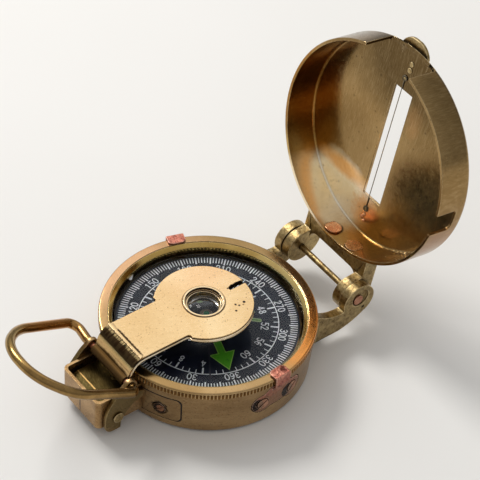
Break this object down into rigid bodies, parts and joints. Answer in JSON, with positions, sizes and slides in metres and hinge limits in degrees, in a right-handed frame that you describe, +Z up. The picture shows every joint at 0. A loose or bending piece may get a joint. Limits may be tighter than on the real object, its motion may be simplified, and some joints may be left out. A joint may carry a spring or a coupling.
{
  "type": "pocket transit compass",
  "caption": "Folding brass sighting compass: round case with knurled turning bezel and floating dial, lens arm, thumb ring, and a hinged cup lid with a sight wire.",
  "frame": {"origin": "centre of the case's flat underside", "axes": "+Z up through the dial's pivot, +Y forwards to the lid hinge, +X to the right of the lens arm"},
  "size_m": [0.0604, 0.1216, 0.0772],
  "materials": {
    "aged_brass": "worn satin brass with brown patina",
    "warm_brass": "polished warm brass",
    "bright_brass": "brushed bright brass",
    "dull_brass": "dull greenish brass",
    "lid_brass": "spun brass, streaked and tarnished",
    "copper": "pinkish worn copper alloy",
    "steel": "darkened steel",
    "dial_black": "matt near-black enamel with white print",
    "jewel": "polished blue-green jewel",
    "clear_glass": "clear polished"
  },
  "bodies": {
    "case": {"case_body": "aged_brass", "pivot_post": "bright_brass", "pivot_needle": "steel", "bezel_clip_right": "copper", "bezel_clip_left": "copper", "clip_screws": "copper", "rear_bracket": "aged_brass", "bracket_screws": "bright_brass", "hinge_tray": "aged_brass", "tray_rivets": "aged_brass", "arm_spring": "dull_brass", "spring_rivet": "bright_brass", "lens_arm_pin": "copper", "lid_yoke": "aged_brass", "yoke_screws": "bright_brass", "lid_hinge_pin": "aged_brass", "hinge_washer": "copper", "lock_pin": "steel"},
    "dial": {"dial_card": "dial_black", "dial_hub": "bright_brass", "jewel_cup": "jewel", "magnet_bars": "steel"},
    "bezel": {"bezel_ring": "warm_brass", "bezel_glass": "clear_glass", "glass_retaining_ring": "aged_brass"},
    "arm": {"lens_arm": "bright_brass", "lens_bush": "bright_brass", "lens": "clear_glass", "lens_retaining_ring": "aged_brass"},
    "ring": {"thumb_ring": "warm_brass"},
    "lid": {"lid_shell": "lid_brass", "lid_bracket": "aged_brass", "lid_rivets": "copper", "lid_thumb_tab": "aged_brass", "tab_rivets": "aged_brass", "sight_wire": "steel", "wire_pins": "bright_brass"}
  },
  "joints": [
    {"name": "lid_hinge", "type": "hinge", "parent": "case", "child": "lid", "pos_m": [0, 0.03864, 0.01057], "axis": [1, 0, 0], "range_deg": [0, 100.78]},
    {"name": "lens_arm_hinge", "type": "hinge", "parent": "case", "child": "arm", "pos_m": [0, -0.0307, 0.0148], "axis": [1, 0, 0], "range_deg": [0, 100]},
    {"name": "thumb_ring_hinge", "type": "hinge", "parent": "case", "child": "ring", "pos_m": [0, -0.0307, 0.0148], "axis": [-1, 0, 0], "range_deg": [-55, 60]},
    {"name": "bezel_turn", "type": "hinge", "parent": "case", "child": "bezel", "pos_m": [0, 0, 0.0138], "axis": [0, 0, 1], "continuous": true},
    {"name": "dial_turn", "type": "hinge", "parent": "case", "child": "dial", "pos_m": [0, 0, 0.0116], "axis": [0, 0, 1], "continuous": true}
  ]
}
